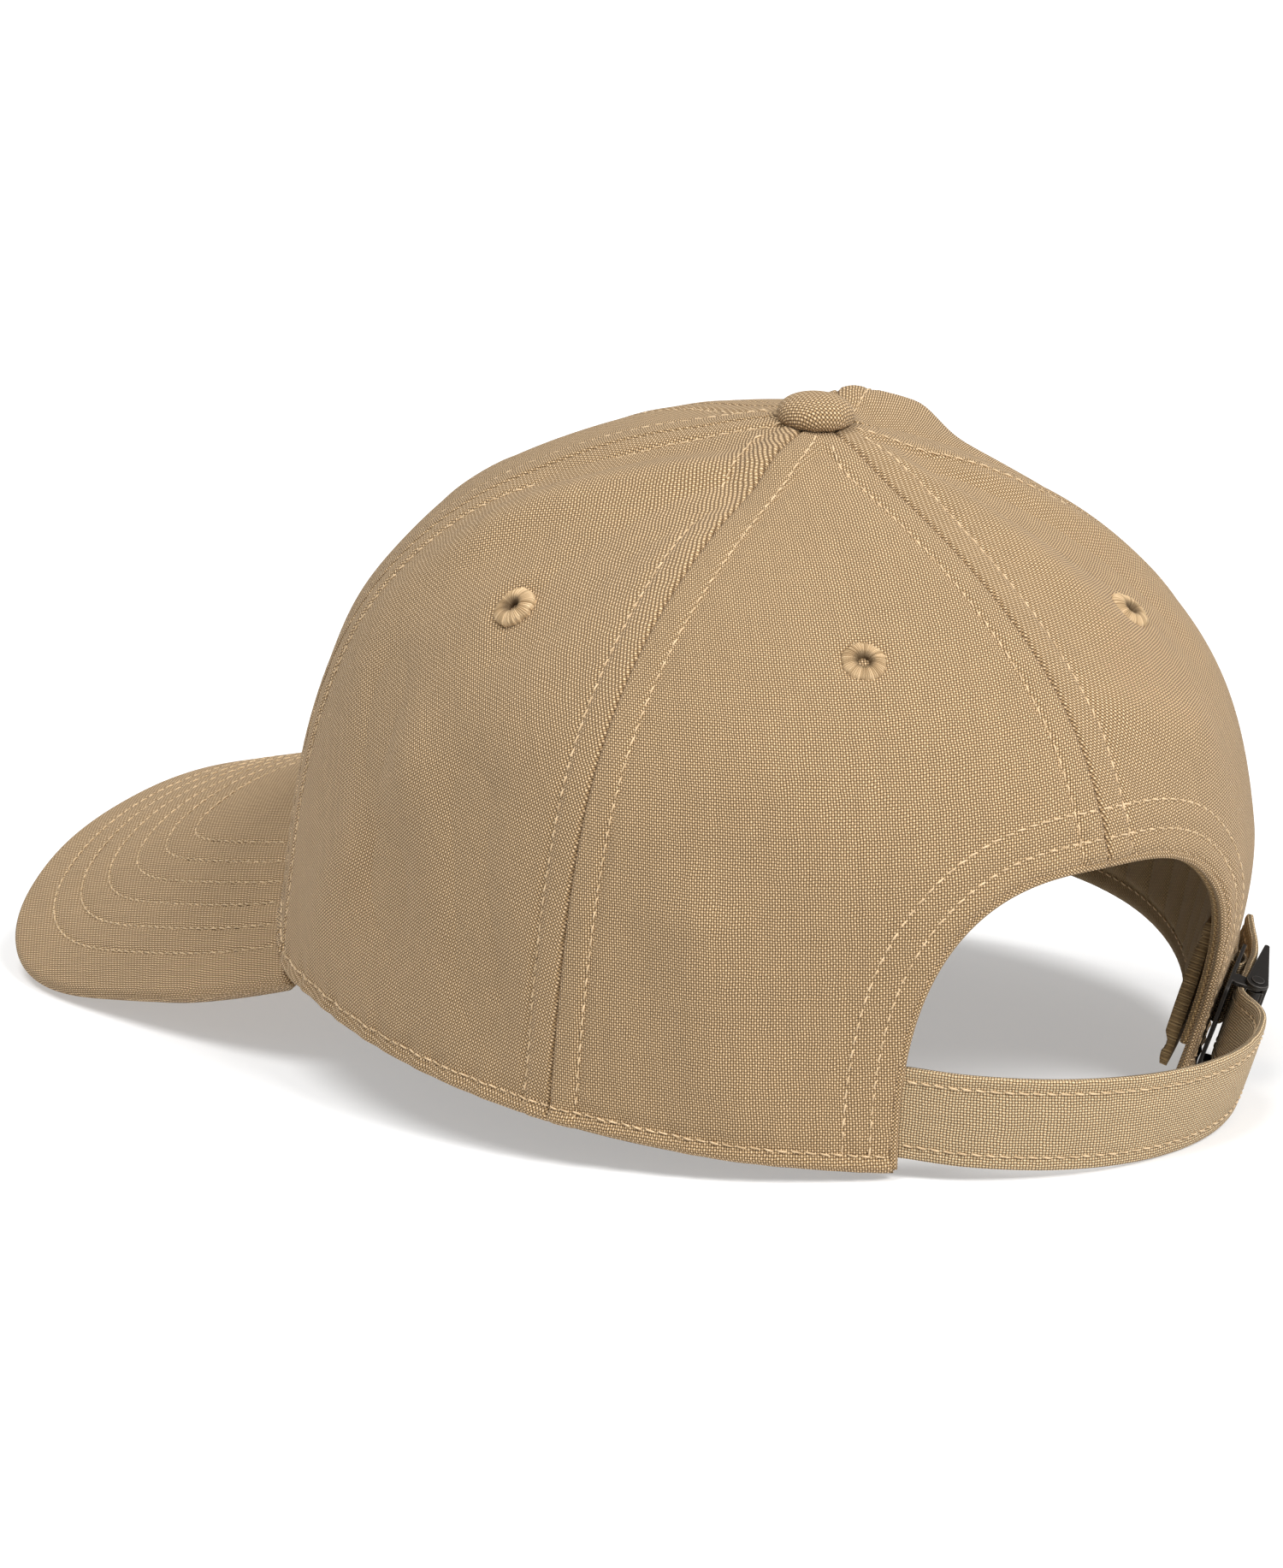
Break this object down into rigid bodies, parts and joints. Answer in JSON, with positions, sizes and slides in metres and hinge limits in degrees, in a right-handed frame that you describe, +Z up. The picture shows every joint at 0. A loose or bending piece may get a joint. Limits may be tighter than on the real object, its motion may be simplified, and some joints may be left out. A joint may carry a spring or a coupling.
{
  "type": "baseball cap",
  "caption": "Panelled cloth cap with a curved stiff visor, a covered top button, sewn eyelets and a rear strap held by a hinged metal clasp under an arched opening.",
  "frame": {"origin": "centre of the cap's bounding box, on the surface it lies on", "axes": "+Z up; -Y towards the tip of the visor, +Y towards the rear strap; +X towards the wearer's left. The cap lies on its visor's side edges and rear corners, so its brim plane is tipped 7.5 degrees, higher at the front."},
  "size_m": [0.1686, 0.3006, 0.1287],
  "materials": {
    "canvas": "tan cotton canvas, matte, washed along the seams",
    "visor_cloth": "tan cotton canvas, matte, topstitched in rows",
    "visor_lining": "tan cotton canvas on the underside of the visor",
    "button_cloth": "tan cotton canvas drawn over the button",
    "strap_cloth": "folded tan cotton canvas, topstitched along both edges",
    "thread": "tan sewing thread",
    "buckram": "stiffened open-weave backing cloth",
    "tape": "dark brown cotton tape",
    "sweatband": "dark brown ribbed cotton band",
    "board": "moulded polyethylene sheet",
    "button_metal": "pressed steel",
    "metal": "dark gunmetal plating with worn light edges"
  },
  "bodies": {
    "cap": {"front_panel_left": "canvas", "side_panel_left": "canvas", "back_panel_left": "canvas", "front_panel_right": "canvas", "side_panel_right": "canvas", "back_panel_right": "canvas", "eyelet_front_left": "thread", "eyelet_side_left": "thread", "eyelet_back_left": "thread", "eyelet_front_right": "thread", "eyelet_side_right": "thread", "eyelet_back_right": "thread", "buckram_left": "buckram", "buckram_right": "buckram", "seam_tape_front_left": "tape", "seam_tape_rear_left": "tape", "seam_tape_front_right": "tape", "seam_tape_rear_right": "tape", "seam_tape_front": "tape", "seam_tape_back": "tape", "arch_binding": "tape", "sweatband": "sweatband", "visor_board": "board", "clasp_base": "metal", "clasp_pin": "metal", "button_shell": "button_metal", "button_tack": "button_metal", "strap": "strap_cloth", "anchor_tab": "strap_cloth", "visor_top_cover": "visor_cloth", "visor_under_cover": "visor_lining", "button_cover": "button_cloth"},
    "lever": {"clasp_lever": "metal"}
  },
  "joints": [
    {"name": "clasp_hinge", "type": "hinge", "parent": "cap", "child": "lever", "pos_m": [-0.04771, 0.11691, 0.01044], "axis": [0.0683, -0.4133, -0.908], "range_deg": [0, 95]}
  ]
}
